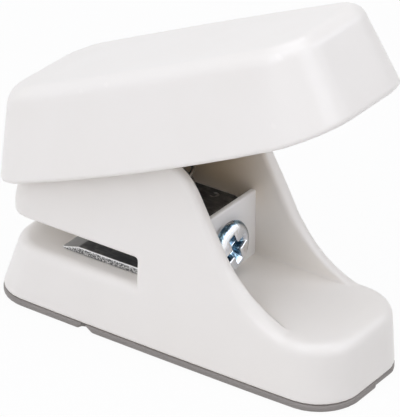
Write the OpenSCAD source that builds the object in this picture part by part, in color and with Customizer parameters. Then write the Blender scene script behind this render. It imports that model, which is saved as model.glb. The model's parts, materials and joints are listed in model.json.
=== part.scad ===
// Single-hole punch for disc binding: a palm lever drives a mushroom-section punch through a steel die.
// X runs from the paper mouth (-X) to the tail (+X), and Z is up.
// The origin is under the middle of the base.
// Millimetres throughout.

/* [Base] */
// Length of the base at the table
base_length = 80; // [74:0.5:92]
// Width of the base at the table
base_width = 27.8; // [26.6:0.2:34]
// Corner radius of the base outline
base_corner = 8.7; // [5:0.1:10]
// How far the long sides of the base bulge
base_bow = 0.5; // [0.1:0.1:1.2]
// Height of the flat top of the base, where the die sits
base_top = 13.5; // [11:0.1:15]
// Thickness of the moulded walls of the base
wall = 2; // [1.4:0.1:2.6]
// Thickness of the roof over the chip space
roof = 2; // [1.4:0.1:3.5]
// Lean of the lower jaw's front face, degrees
jaw_lean = 20; // [4:1:26]
// Lean of the tail's rear face, degrees
tail_lean = 3; // [0:1:12]
// Draft of the side faces, degrees
side_draft = 2.5; // [0.5:0.1:3]
// Rounding round the top of the base
base_edge = 1.2; // [0.4:0.1:2]

/* [Upper jaw] */
// Setback of the upper jaw's front face from the front of the base
jaw_setback = 4.8; // [3:0.1:7]
// Corner radius of the upper jaw
jaw_corner = 6.5; // [3:0.1:8.5]
// Clear height of the paper slot at its mouth
slot_height = 5.9; // [5:0.1:7]
// Depth of the paper slot
slot_depth = 31.5; // [30:0.1:36]
// Thickness of the upper jaw's floor
jaw_floor = 2; // [1.4:0.1:2.6]
// How far the upper jaw's front wall stops under the pivot pin
brow_drop = 6; // [5.6:0.1:8]
// Height of the side walls over the pivot pin
pin_cover = 4; // [3.2:0.1:4.4]
// Distance from the slot's end to where the walls' rear edge would meet the base top
wall_run = 24.5; // [21:0.1:28]
// Slope of the rear edge of the walls, degrees from level
wall_slope = 61.7; // [56:0.1:68]
// Radius of the sweep from the walls into the tail
wall_sweep = 24; // [12:0.5:26]
// Radius of the walls' top rear corner
wall_shoulder = 11; // [2:0.5:14]

/* [Steel frame] */
// Thickness of the bracket plates
plate = 1.5; // [1:0.1:2]
// How far the die plate reaches into the slot
die_reach = 20.4; // [13:0.1:26]
// Corner radius at the front of the die plate
die_corner = 1; // [0.5:0.5:6]
// Length of the ramp that leads the paper onto the die plate
lead_length = 4.2; // [1:0.1:6]
// Drop of that ramp
lead_drop = 1.2; // [0.4:0.1:1.3]
// Thickness of the cross block
block_thickness = 1.2; // [1:0.1:3]
// Height of the cross block over the guide arm
block_rise = 2.35; // [0.5:0.05:4]

/* [Screw] */
// Thread diameter of the frame screw
screw_d = 5; // [3:0.1:6]
// Diameter of the screw head
screw_head_d = 9.6; // [7:0.1:11]
// Height of the screw head
screw_head_h = 2.7; // [2.2:0.1:4]
// Thickness of the nut plate
nut_thickness = 2.5; // [1.5:0.1:4]

/* [Punch] */
// Diameter of the round end of the mushroom section
punch_round_d = 5.8; // [4.5:0.1:7]
// Width of the stem of the mushroom section
punch_stem = 2.6; // [1.6:0.1:3.6]
// Length of the mushroom section
punch_length = 10.5; // [9:0.1:11.2]
// Running clearance round the punch in the guide and the die
punch_clearance = 0.06; // [0.03:0.01:0.12]
// Thickness of the punch head's flange
head_flange = 2.4; // [1.6:0.1:3.2]
// Length of the hub under the flange
head_hub = 3.4; // [2.6:0.1:3.8]

/* [Spring] */
// Wire diameter of the return spring
spring_wire = 0.8; // [0.5:0.05:0.9]
// Turns of the return spring
spring_turns = 4; // [2.5:0.5:4.5]

/* [Lever] */
// Length of the lever's flat top
lever_length = 72; // [62:0.5:84]
// Width of the lever's flat top
lever_width = 29; // [27.6:0.1:34]
// Depth of the lever's skirt
lever_depth = 16.4; // [15.6:0.1:20]
// Corner radius at the lever's rim
lever_corner = 11; // [8:0.5:13]
// Bulge of the lever's long sides
lever_bow = 1.2; // [0.3:0.1:2]
// Spread of the skirt at the front
front_flare = 8.6; // [7.5:0.1:12]
// Spread of the skirt at the rear
rear_flare = 2.6; // [0.5:0.1:5]
// Spread of the skirt at each side
side_flare = 3.4; // [2.6:0.1:4.5]
// Sag of the rim at mid length
rim_arch = 1.2; // [0.2:0.1:2]
// Rounding round the lever's top
lever_edge = 3; // [1.5:0.5:4]
// Thickness of the lever's wall
lever_wall = 2; // [1.4:0.1:2.2]
// Tilt of the lever at rest, degrees
lever_tilt = 22.8; // [20:0.1:24]
// Reach of the lever's flat top in front of the pivot pin
top_reach = 7.3; // [7:0.1:9]
// How far the lever's rim plane lies under the pivot pin
rim_drop = 6.5; // [5.5:0.1:7]

/* [Pivot] */
// Height of the pivot pin
pivot_height = 37.5; // [36.5:0.1:43]
// Distance from the pivot pin to the punch
lever_arm = 17.2; // [16:0.1:18.5]
// Swing of the lever, degrees
lever_swing = 22; // [18:0.5:23]
// Diameter of the pivot pin
pin_d = 4; // [2.5:0.1:4.6]
// Running clearance of the lever on the pin
pin_clearance = 0.05; // [0.03:0.01:0.1]
// Thickness of the lever core's cheeks
cheek = 1.8; // [1.2:0.1:2.4]
// Radius of the press shoe
shoe_r = 1.6; // [1.2:0.1:2]
// Gap between the press shoe and the punch head
shoe_gap = 0.1; // [0.05:0.01:0.3]

/* [Bottom cover] */
// Thickness of the bottom cover
cover_thickness = 1.5; // [1.2:0.1:2.6]
// Height of the lip that plugs into the base
lip_height = 2.2; // [1.2:0.1:4]
// Thickness of that lip
lip_thickness = 1.2; // [0.8:0.1:2]
// Clearance of the lip inside the base
lip_clearance = 0.35; // [0.2:0.05:0.6]
// Distance of the fold line from the front of the base
fold_from_front = 24; // [18:0.5:34]
// Width of the gap at the fold line
fold_gap = 0.3; // [0.2:0.05:0.8]
// Width of the side notches at the fold line
notch_width = 4; // [2.5:0.5:8]
// Depth of the side notches
notch_depth = 1.2; // [0.6:0.1:1.8]
// Width of the pry recess at the rear
pry_width = 7; // [4:0.5:8]
// Depth of the pry recess
pry_depth = 0.8; // [0.4:0.1:1.2]
// Distance of the pry recess from the middle line
pry_offset = 1.3; // [0:0.1:2]

/* [Hidden] */
$fn = 48;

// Clearances, cutting allowances and the fineness of rounded outlines
seam = 0.04;
slip = 0.2;
press = 0.02;
over = 1;
tall = 100;
round_steps = 6;
edge_steps = 4;

// Rivets, bends and other small stock sizes
rivet_r = 0.9;
rivet_head_r = 1.5;
rivet_head_h = 0.8;
bend = 0.4;
eye_wall = 2.2;
eye_r = pin_d / 2 + eye_wall;
clip_thickness = 0.8;
clip_groove = 0.3;
clip_ring = 1.2;
screw_tip = 0.6;
nut_rim = 0.5;

// Widths, from the punch outwards: hub, spring, head, cheeks, side walls and plates
rings_per_turn = 8;
hub_wall = 0.3;
head_lip = 0.1;
head_clearance = 0.3;
cheek_clearance = 0.5;
plate_clearance = 0.2;
rivet_inset = 2;
hub_r = norm([punch_length, punch_stem]) / 2 + hub_wall;
spring_d = 2 * (hub_r + slip) / cos(180 / rings_per_turn) + spring_wire;
head_r = (spring_d + spring_wire) / 2 + head_lip;
cheek_inner = head_r + head_clearance;
cheek_outer = cheek_inner + cheek;
inner_half = cheek_outer + cheek_clearance;
plate_half = inner_half - plate_clearance;
frame_rivet_y = plate_half - rivet_inset;
base_half = base_width / 2;
front_face_lean = tan(jaw_lean);
rear_face_lean = tan(tail_lean);
side_face_lean = tan(side_draft);

// Places along X, from the slot's end: punch, guide and pivot in front, steel frame and block behind
stem_past_edge = 0.3;
stop_wall = 1.2;
guide_wall = 1.4;
rivet_ahead = 3.7;
arm_margin = 2.4;
guide_setback = 0.6;
screw_room = 1.9;
base_front = -base_length / 2;
jaw_front = base_front + jaw_setback;
slot_end = jaw_front + slot_depth;
stop_back = slot_end + stop_wall;
punch_rear = slot_end + stem_past_edge;
punch_front = punch_rear - punch_length;
punch_x = (punch_front + punch_rear) / 2;
round_x = punch_front + punch_round_d / 2;
pivot_x = punch_x - lever_arm;
fold_x = base_front + fold_from_front;
guide_front = punch_front - guide_wall;
guide_rear = stop_back + slip;
guide_rivet_x = punch_front - rivet_ahead;
arm_front = guide_rivet_x - arm_margin;
guide_flange_front = arm_front + guide_setback;
guide_web_front = guide_rear + screw_room + screw_tip + nut_thickness;
die_web_front = guide_web_front + plate;
block_front = die_web_front + plate;
block_back = block_front + block_thickness;
wall_foot = slot_end + wall_run;

// Heights
tip_recess = 0.5;
guide_flange = 1.75;
seat_thickness = 0.5;
nut_room = 0.1;
body_bottom = cover_thickness + seam;
slot_top = base_top + slot_height;
punch_tip = slot_top + tip_recess;
guide_bottom = slot_top + slip;
floor_top = slot_top + jaw_floor;
arm_bottom = floor_top + guide_flange;
arm_top = arm_bottom + plate;
seat_top = arm_top + seat_thickness;
block_top = arm_top + block_rise;
screw_z = arm_bottom - bend - nut_room - nut_rim - screw_d / 2;
front_wall_top = pivot_height - brow_drop;
side_wall_top = pivot_height + pin_cover;
shoe_rise = lever_arm * sin(lever_swing / 2);
head_top = pivot_height + shoe_rise - shoe_r - shoe_gap;
head_under = head_top - head_flange;
hub_bottom = head_under - head_hub;
socket_depth = head_hub + head_flange / 2;
cross_pin_r = 0.7;
cross_pin_z = hub_bottom + head_hub / 2;

// Guide widths and the clearance hole of the arm
guide_side = 3.6;
guide_inset = 1.5;
arm_clearance = 0.6;
guide_rivet_y = 5;
guide_nose_half = punch_round_d / 2 + guide_side;
guide_flange_half = inner_half - guide_inset;
arm_hole_r = punch_length / 2 + arm_clearance;

// Skin left over the side notches of the cover
notch_web = 0.35;

// Pin and clips across the lever
clip_y = cheek_inner - slip - clip_thickness;
pin_half = base_half - (pivot_height - body_bottom) * side_face_lean - slip;

// Return spring
tube_sides = 6;
spring_bottom = seat_top + seam;
spring_length = head_under - seam - spring_bottom;
spring_rings = spring_turns * rings_per_turn;
spring_rise = spring_length - spring_wire;

// Lever in its own frame, whose origin is the pivot pin
rim_front = -top_reach - front_flare;
rim_rear = lever_length - top_reach + rear_flare;
rim_width = lever_width + 2 * side_flare;
lever_roof = lever_depth - lever_wall - rim_drop;
nose_half = 2.2;
core_web = 2;
core_tail = 18;
core_front = core_web - eye_r;

// A point of the XZ plane in the lever's own frame
function in_lever(p) =
  let (dx = p.x - pivot_x, dz = p.y - pivot_height)
  [dx * cos(lever_tilt) + dz * sin(lever_tilt), dz * cos(lever_tilt) - dx * sin(lever_tilt)];
shoe_in_lever = in_lever([pivot_x + lever_arm * cos(lever_swing / 2), pivot_height + shoe_rise]);
core_rear = shoe_in_lever.x + core_tail;

// Rounding of outlines: each corner is [x, y, radius]
function unit(v) = v / norm(v);
function flat(p) = [p.x, p.y];
function turn(a) = a > 180 ? a - 360 : a < -180 ? a + 360 : a;
function corner_arc(before, at, after, r) =
  let (
    u = unit(before - at),
    v = unit(after - at),
    half = acos(u * v) / 2,
    centre = at + unit(u + v) * r / sin(half),
    first = at + u * r / tan(half) - centre,
    last = at + v * r / tan(half) - centre,
    start = atan2(first.y, first.x),
    sweep = turn(atan2(last.y, last.x) - start)
  )
  [
    for (i = [0 : round_steps])
    let (a = start + sweep * i / round_steps)
    centre + r * [cos(a), sin(a)]
  ];
function rounded(path) =
  let (n = len(path))
  [
    for (i = [0 : n - 1])
    let (before = flat(path[(i + n - 1) % n]), at = flat(path[i]), after = flat(path[(i + 1) % n]))
    each path[i].z > 0 ? corner_arc(before, at, after, path[i].z) : [at]
  ];

// Rounded rectangle whose long sides bulge outwards
function barrel(length, width, corner, bow) =
  let (
    reach = length / 2 - corner,
    rise = width / 2 - bow - corner,
    quarter = [
      for (i = [0 : round_steps])
      let (a = 90 * i / round_steps)
      [reach + corner * cos(a), rise + corner * sin(a)]
    ],
    side = [
      for (i = [1 : 2 * round_steps - 1])
      let (u = 1 - i / round_steps)
      [reach * u, width / 2 - bow * u * u]
    ],
    mirrored = [for (i = [len(quarter) - 1 : -1 : 0]) [-quarter[i].x, quarter[i].y]],
    top = concat(quarter, side, mirrored)
  )
  concat(top, [for (p = top) -p]);

// Draws its flat children in the XZ plane and gives them a width across Y
module across(half) {
  rotate([90, 0, 0])
    linear_extrude(2 * half, center = true)
      children();
}

// Solid through a stack of level rings, each a list of as many [x, y, z] points
module loft(rings) {
  n = len(rings[0]);
  top = (len(rings) - 1) * n;
  sides = [
    for (k = [0 : len(rings) - 2])
    for (i = [0 : n - 1])
    let (a = k * n + i, b = k * n + (i + 1) % n)
    each [[a, a + n, b + n], [a, b + n, b]]
  ];
  bottom_cap = [for (i = [1 : n - 2]) [0, i, i + 1]];
  top_cap = [for (i = [1 : n - 2]) [top, top + i + 1, top + i]];
  polyhedron([for (ring = rings) each ring], concat(sides, bottom_cap, top_cap));
}

module block(from, to) {
  translate(from)
    cube(to - from);
}

module rod_y(x, z, r, half) {
  translate([x, 0, z])
    rotate([90, 0, 0])
      cylinder(h = 2 * half, r = r, center = true);
}

module rod_x(y, z, r, from, to) {
  translate([from, y, z])
    rotate([0, 90, 0])
      cylinder(h = to - from, r = r);
}

module lever_place() {
  translate([pivot_x, 0, pivot_height])
    rotate([0, -lever_tilt, 0])
      children();
}

// Mushroom outline of the punch, grown by a clearance
module mushroom(grow) {
  round_r = punch_round_d / 2 + grow;
  translate([round_x, 0])
    circle(r = round_r);
  translate([round_x, -punch_stem / 2 - grow])
    square([punch_length - punch_round_d / 2 + grow, punch_stem + 2 * grow]);
}

// Outline of the base at one height, drawn in by an inset, with the given lean of its front
function base_ring(z, inset, front_lean) =
  let (
    up = z - body_bottom,
    front = base_front + inset + up * front_lean,
    rear = base_length / 2 - inset - up * rear_face_lean,
    half = base_half - inset - up * side_face_lean
  )
  [
    for (p = barrel(rear - front, 2 * half, base_corner - inset, base_bow))
    [p.x + (front + rear) / 2, p.y, z]
  ];

// Form of the base between two heights, drawn in by an inset
module base_form(inset, from, to) {
  loft([base_ring(from, inset, front_face_lean), base_ring(to, inset, front_face_lean)]);
}

// The base with its top edge rounded
module base_block() {
  loft(concat(
    [base_ring(body_bottom, 0, front_face_lean)],
    [
      for (i = [0 : edge_steps])
      let (a = 90 * i / edge_steps)
      base_ring(base_top - base_edge * (1 - sin(a)), base_edge * (1 - cos(a)), front_face_lean)
    ]
  ));
}

// Upper jaw and side walls as one block, before they are hollowed
module jaw_form() {
  slot_corner = 0.5;
  lip_corner = 2;
  brow = 1.5;
  crown = 3;
  step = 1;
  sweep_z = base_top - base_edge;
  sunk = sweep_z - over;
  foot = wall_foot + base_edge / tan(wall_slope);
  tail = foot + wall_sweep * tan(wall_slope / 2) + slip;
  intersection() {
    loft([base_ring(sunk, 0, 0), base_ring(side_wall_top + over, 0, 0)]);
    translate([jaw_front + base_length / 2, 0, 0])
      linear_extrude(side_wall_top + over)
        polygon(barrel(base_length, base_width, jaw_corner, base_bow));
    across(base_width)
      polygon(rounded([
        [slot_end, sunk, 0],
        [slot_end, slot_top, slot_corner],
        [jaw_front, slot_top, lip_corner],
        [jaw_front, front_wall_top, brow],
        [pivot_x - eye_r - step, front_wall_top + wall, step],
        [pivot_x - eye_r, side_wall_top, crown],
        [wall_foot - (side_wall_top - base_top) / tan(wall_slope), side_wall_top, wall_shoulder],
        [foot, sweep_z, wall_sweep],
        [tail, sweep_z, 0],
        [tail, sunk, 0]
      ]));
  }
}

// Space that the mechanism stands in, between the side walls
module mechanism_space() {
  guide_half = guide_nose_half + slip;
  relief_half = punch_stem / 2 + over;
  block([jaw_front + wall, -inner_half, floor_top], [tall, inner_half, tall]);
  block([stop_back, -inner_half, base_top], [tall, inner_half, tall]);
  block([slot_end - over, -inner_half, base_top], [stop_back + over, inner_half, base_top + plate + slip]);
  block(
    [guide_front - slip, -guide_half, slot_top - over],
    [guide_rear + slip, guide_half, floor_top + over]
  );
  block([slot_end - over, -relief_half, base_top], [stop_back + over, relief_half, floor_top + over]);
  block([jaw_front - over, -inner_half, front_wall_top], [jaw_front + wall + over, inner_half, tall]);
}

module chip_hole() {
  chip_clearance = 0.7;
  translate([0, 0, base_top - roof - over])
    linear_extrude(roof + 2 * over)
      mushroom(chip_clearance);
}

// White moulded body
module body_shell() {
  color("white")
    difference() {
      union() {
        difference() {
          union() {
            base_block();
            jaw_form();
          }
          mechanism_space();
        }
        block([block_front, -inner_half, base_top], [block_back, inner_half, block_top]);
      }
      base_form(wall, 0, base_top - roof);
      chip_hole();
      rod_y(pivot_x, pivot_height, pin_d / 2 + press, base_width);
      rod_x(0, screw_z, screw_d / 2 + slip, block_front - over, block_back + over);
    }
}

// Whole bottom cover, before it is split at the fold line
module cover_form() {
  lip_inset = wall + lip_clearance;
  difference() {
    union() {
      linear_extrude(cover_thickness)
        polygon(barrel(base_length, base_width, base_corner, base_bow));
      difference() {
        base_form(lip_inset, cover_thickness - slip, cover_thickness + lip_height);
        base_form(lip_inset + lip_thickness, 0, base_top);
      }
    }
    for (side = [-1, 1])
      translate([fold_x, side * (base_half + notch_width / 2 - notch_depth), -over])
        cylinder(h = cover_thickness - notch_web + over, r = notch_width / 2);
    block(
      [base_length / 2 - pry_depth, pry_offset, -over],
      [base_length / 2 + over, pry_offset + pry_width, cover_thickness + over]
    );
  }
}

// Grey front part of the bottom cover
module cover_anchor() {
  color("gray")
    intersection() {
      cover_form();
      block([-base_length, -base_width, -over], [fold_x - fold_gap / 2, base_width, tall]);
    }
}

// Grey rear flap of the bottom cover
module chip_cover() {
  color("gray")
    intersection() {
      cover_form();
      block([fold_x + fold_gap / 2, -base_width, -over], [base_length, base_width, tall]);
    }
}

// L-shaped strip in the XZ plane: a level leg and an upright leg that share one bend
module bent_strip(corner, level_end, upright_end) {
  level = sign(level_end - corner.x);
  up = sign(upright_end - corner.y);
  across(plate_half)
    polygon(rounded([
      [corner.x, corner.y, plate + bend],
      [level_end, corner.y, 0],
      [level_end, corner.y + up * plate, 0],
      [corner.x + level * plate, corner.y + up * plate, bend],
      [corner.x + level * plate, upright_end, 0],
      [corner.x, upright_end, 0]
    ]));
}

// Holes for the screw and the rivets through both webs
module web_holes() {
  rod_x(0, screw_z, screw_d / 2 + slip, guide_web_front - over, block_front + over);
  for (side = [-1, 1])
    rod_x(side * frame_rivet_y, screw_z, rivet_r + press, guide_web_front - over, block_front + over);
}

// Cut that leaves a ramp at the front of the die plate
module lead_in(front) {
  top = base_top + plate;
  fall = lead_drop / lead_length;
  across(plate_half + over)
    polygon([
      [front - over, top - lead_drop - over * fall],
      [front + lead_length + over, top + over * fall],
      [front - over, top + over * fall]
    ]);
}

// Dark steel die plate with its web
module die_bracket() {
  front = slot_end - die_reach;
  color("dimgray")
    difference() {
      intersection() {
        bent_strip([block_front, base_top], front, arm_top);
        linear_extrude(tall)
          polygon(rounded([
            [front, -plate_half, die_corner],
            [block_front, -plate_half, 0],
            [block_front, plate_half, 0],
            [front, plate_half, die_corner]
          ]));
      }
      lead_in(front);
      web_holes();
      translate([0, 0, base_top - over])
        linear_extrude(plate + 2 * over)
          mushroom(punch_clearance);
    }
}

// Dark steel arm that carries the punch guide
module guide_bracket() {
  color("dimgray")
    difference() {
      bent_strip([die_web_front, arm_top], arm_front, base_top + plate + bend + slip);
      web_holes();
      translate([punch_x, 0, arm_bottom - over])
        cylinder(h = plate + 2 * over, r = arm_hole_r);
      for (side = [-1, 1])
        translate([guide_rivet_x, side * guide_rivet_y, arm_bottom - over])
          cylinder(h = plate + 2 * over, r = rivet_r + press);
    }
}

// Domed rivet head on a shank, along Z, with the head above zero
module rivet(shank) {
  head_half = rivet_head_r / 2;
  rotate_extrude()
    polygon([
      [0, -shank],
      [rivet_r, -shank],
      [rivet_r, 0],
      [rivet_head_r, 0],
      [rivet_head_r, rivet_head_h / 2],
      [head_half, rivet_head_h],
      [0, rivet_head_h]
    ]);
}

// Rivets that hold the two webs together
module frame_rivets() {
  color("silver")
    for (side = [-1, 1])
      translate([guide_web_front, side * frame_rivet_y, screw_z])
        rotate([0, -90, 0])
          rivet(2 * plate);
}

// Moulded guide that the punch runs in, and that strips the paper off it
module punch_guide() {
  color("lightgray")
    difference() {
      union() {
        block([guide_front, -guide_nose_half, guide_bottom], [guide_rear, guide_nose_half, arm_bottom]);
        block(
          [guide_flange_front, -guide_flange_half, floor_top],
          [guide_rear, guide_flange_half, arm_bottom]
        );
      }
      translate([0, 0, guide_bottom - over])
        linear_extrude(arm_bottom - guide_bottom + 2 * over)
          mushroom(punch_clearance);
      for (side = [-1, 1])
        translate([guide_rivet_x, side * guide_rivet_y, floor_top - over])
          cylinder(h = guide_flange + 2 * over, r = rivet_r + press);
    }
}

// Rivets that hold the guide under the arm
module guide_rivets() {
  color("silver")
    for (side = [-1, 1])
      translate([guide_rivet_x, side * guide_rivet_y, arm_top])
        rivet(plate + guide_flange);
}

// Mushroom-section punch
module punch() {
  color("silver")
    difference() {
      translate([0, 0, punch_tip])
        linear_extrude(hub_bottom + socket_depth - punch_tip)
          mushroom(0);
      rod_y(round_x, cross_pin_z, cross_pin_r + press, punch_round_d);
    }
}

// Top hat on the punch
module punch_head() {
  edge = 0.8;
  color("gray")
    difference() {
      translate([punch_x, 0, 0])
        rotate_extrude()
          polygon([
            [0, hub_bottom],
            [hub_r, hub_bottom],
            [hub_r, head_under],
            [head_r, head_under],
            [head_r, head_top - edge],
            [head_r - edge, head_top],
            [0, head_top]
          ]);
      translate([0, 0, hub_bottom - over])
        linear_extrude(socket_depth + over)
          mushroom(press);
      rod_y(round_x, cross_pin_z, cross_pin_r + press, 2 * head_r);
    }
}

// Cross pin through the punch and its head
module head_pin() {
  off_axis = round_x - punch_x;
  color("silver")
    rod_y(round_x, cross_pin_z, cross_pin_r, sqrt(hub_r * hub_r - off_axis * off_axis) - slip);
}

// Centre and outline of the spring wire, a helix of short straight steps
function spring_at(i) =
  let (a = 360 * i / rings_per_turn)
  [
    punch_x + spring_d / 2 * cos(a),
    spring_d / 2 * sin(a),
    spring_bottom + spring_wire / 2 + spring_rise * i / spring_rings
  ];
function spring_ring(i) =
  let (a = 360 * i / rings_per_turn, out = [cos(a), sin(a), 0], c = spring_at(i))
  [
    for (s = [0 : tube_sides - 1])
    let (t = 360 * s / tube_sides)
    c + spring_wire / 2 * (cos(t) * out + [0, 0, sin(t)])
  ];
spring_gap = min([
  for (i = [0 : spring_rings])
  for (j = [i + rings_per_turn / 2 : spring_rings])
  norm(spring_at(i) - spring_at(j))
]) - spring_wire;
echo(least_gap_of_spring_to_itself = spring_gap);

// Return spring: one tube swept along the helix
module return_spring() {
  points = [for (i = [0 : spring_rings]) each spring_ring(i)];
  last = spring_rings * tube_sides;
  sides = [
    for (i = [0 : spring_rings - 1])
    for (s = [0 : tube_sides - 1])
    let (a = i * tube_sides + s, b = i * tube_sides + (s + 1) % tube_sides)
    each [[a, b, b + tube_sides], [a, b + tube_sides, a + tube_sides]]
  ];
  first_cap = [for (s = [1 : tube_sides - 2]) [0, s + 1, s]];
  last_cap = [for (s = [1 : tube_sides - 2]) [last, last + s, last + s + 1]];
  color("silver")
    polyhedron(points, concat(sides, first_cap, last_cap));
}

// Washer under the spring
module spring_seat() {
  color("silver")
    translate([punch_x, 0, arm_top])
      difference() {
        cylinder(h = seat_thickness, r = head_r);
        translate([0, 0, -over])
          cylinder(h = seat_thickness + 2 * over, r = arm_hole_r);
      }
}

// Pan-head screw that clamps the steel frame to the cross block
module frame_screw() {
  r = screw_head_d / 2;
  crown = 1.5;
  recess_w = 1.4;
  recess_l = 5.4;
  recess_h = 1.5;
  color("silver")
    difference() {
      union() {
        rod_x(0, screw_z, screw_d / 2, guide_web_front - nut_thickness - screw_tip, block_back + seam);
        translate([block_back, 0, screw_z])
          rotate([0, 90, 0])
            rotate_extrude()
              polygon(rounded([
                [0, 0, 0],
                [r, 0, 0],
                [r, screw_head_h, crown],
                [0, screw_head_h, 0]
              ]));
      }
      for (quarter = [0, 90])
        translate([block_back + screw_head_h - recess_h, 0, screw_z])
          rotate([quarter + 45, 0, 0])
            translate([0, -recess_l / 2, -recess_w / 2])
              cube([recess_h + over, recess_l, recess_w]);
    }
}

// Tapped plate that the screw pulls up against the webs
module nut_plate() {
  half_y = frame_rivet_y - rivet_head_r - slip;
  half_z = screw_d / 2 + nut_rim;
  color("silver")
    difference() {
      block(
        [guide_web_front - nut_thickness, -half_y, screw_z - half_z],
        [guide_web_front, half_y, screw_z + half_z]
      );
      rod_x(0, screw_z, screw_d / 2 + press, guide_web_front - 2 * nut_thickness, guide_web_front + over);
    }
}

// Hinge pin of the lever
module pivot_pin() {
  color("silver")
    difference() {
      rod_y(pivot_x, pivot_height, pin_d / 2, pin_half);
      for (side = [-1, 1])
        translate([pivot_x, side * (clip_y + clip_thickness / 2), pivot_height])
          rotate([90, 0, 0])
            difference() {
              cylinder(h = clip_thickness + 2 * press, r = pin_d, center = true);
              cylinder(h = tall, r = pin_d / 2 - clip_groove, center = true);
            }
    }
}

// Pair of open retaining clips on the pin
module pin_clips() {
  clip_r = pin_d / 2 + clip_ring;
  mouth = pin_d / 2;
  color("dimgray")
    for (side = [-1, 1])
      translate([pivot_x, side * (clip_y + clip_thickness / 2), pivot_height])
        rotate([90, 0, 0])
          difference() {
            cylinder(h = clip_thickness, r = clip_r, center = true);
            cylinder(h = tall, r = pin_d / 2 - clip_groove + press, center = true);
            translate([-mouth / 2, -pin_d, -tall / 2])
              cube([mouth, pin_d, tall]);
          }
}

// Outline of the lever at one height over its rim plane, drawn in by an inset
function lever_ring(h, inset) =
  let (
    share = h / lever_depth,
    front = rim_front + front_flare * share + inset,
    rear = rim_rear - rear_flare * share - inset,
    width = rim_width - 2 * side_flare * share - 2 * inset
  )
  [
    for (p = barrel(rear - front, width, lever_corner - side_flare * share - inset, lever_bow))
    [p.x + (front + rear) / 2, p.y, h - rim_drop]
  ];

// Lever skirt and top in the lever's own frame, drawn in by an inset and closed at the given height
module lever_form(inset, top, below, edge) {
  loft(concat(
    [lever_ring(-below, inset)],
    [
      for (i = [0 : edge_steps])
      let (a = 90 * i / edge_steps)
      lever_ring(top - edge * (1 - sin(a)), inset + edge * (1 - cos(a)))
    ]
  ));
}

// The rim's arch: everything under it is cut away
module under_rim() {
  drop = 20;
  middle = (rim_front + rim_rear) / 2;
  reach = (rim_rear - rim_front) / 2;
  translate([middle, 0, -rim_drop])
    across(rim_width)
      polygon(concat(
        [[2 * reach, 0], [2 * reach, -drop], [-2 * reach, -drop], [-2 * reach, 0]],
        [
          for (i = [-round_steps : round_steps])
          let (u = i / round_steps)
          [reach * u, -rim_arch * (1 - u * u)]
        ]
      ));
}

// White hollow lever
module lever_cap() {
  color("white")
    lever_place()
      difference() {
        lever_form(0, lever_depth, rim_arch, lever_edge);
        lever_form(lever_wall, lever_depth - lever_wall, 2 * rim_arch + over, lever_edge - over);
        under_rim();
      }
}

// Side outline of one cheek of the core, in the lever's own frame
module cheek_outline() {
  circle(r = eye_r);
  polygon([
    [core_front, lever_roof],
    [core_front - core_web, lever_roof - 2 * core_web],
    [core_front - core_web, 0],
    [0, -eye_r],
    [shoe_in_lever.x - nose_half, shoe_in_lever.y],
    [shoe_in_lever.x + nose_half, shoe_in_lever.y],
    [core_rear, lever_roof - core_web],
    [core_rear, lever_roof]
  ]);
}

// Heel that meets the jaw's front wall and stops the lever at rest
module heel_outline() {
  heel_gap = 0.1;
  heel_setback = 0.6;
  heel_overhang = 0.3;
  heel_front = jaw_front + heel_setback;
  heel_back = jaw_front + wall + heel_overhang;
  polygon([
    in_lever([heel_front, front_wall_top + heel_gap]),
    in_lever([heel_back, front_wall_top + heel_gap]),
    [core_front + core_web, lever_roof - core_web],
    [core_front + core_web, lever_roof],
    [core_front, lever_roof],
    [core_front - core_web, lever_roof - core_web]
  ]);
}

// Moulded carrier inside the lever
module lever_core() {
  color("lightgray")
    difference() {
      lever_place()
        union() {
          for (side = [-1, 1])
            translate([0, side * (cheek_inner + cheek_outer) / 2, 0])
              across((cheek_outer - cheek_inner) / 2)
                cheek_outline();
          across(cheek_inner + seam)
            heel_outline();
          block(
            [core_front, -cheek_inner - seam, lever_roof - core_web],
            [core_rear, cheek_inner + seam, lever_roof]
          );
          block(
            [shoe_in_lever.x - nose_half, -cheek_inner - seam, shoe_in_lever.y],
            [shoe_in_lever.x + nose_half, cheek_inner + seam, lever_roof]
          );
        }
      rod_y(pivot_x, pivot_height, pin_d / 2 + pin_clearance, base_width);
      lever_place()
        rod_y(shoe_in_lever.x, shoe_in_lever.y, shoe_r + press, cheek_inner - over);
    }
}

// Steel bar in the core's nose that bears on the punch head
module press_shoe() {
  color("silver")
    lever_place()
      rod_y(shoe_in_lever.x, shoe_in_lever.y, shoe_r, cheek_inner - over - slip);
}

body_shell();
cover_anchor();
chip_cover();
die_bracket();
guide_bracket();
frame_rivets();
punch_guide();
guide_rivets();
punch();
punch_head();
head_pin();
return_spring();
spring_seat();
frame_screw();
nut_plate();
pivot_pin();
pin_clips();
lever_cap();
lever_core();
press_shoe();
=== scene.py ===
# Disc binding punch: moulded shells, steel frame, screw and spring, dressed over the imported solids.
import json
import math

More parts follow.
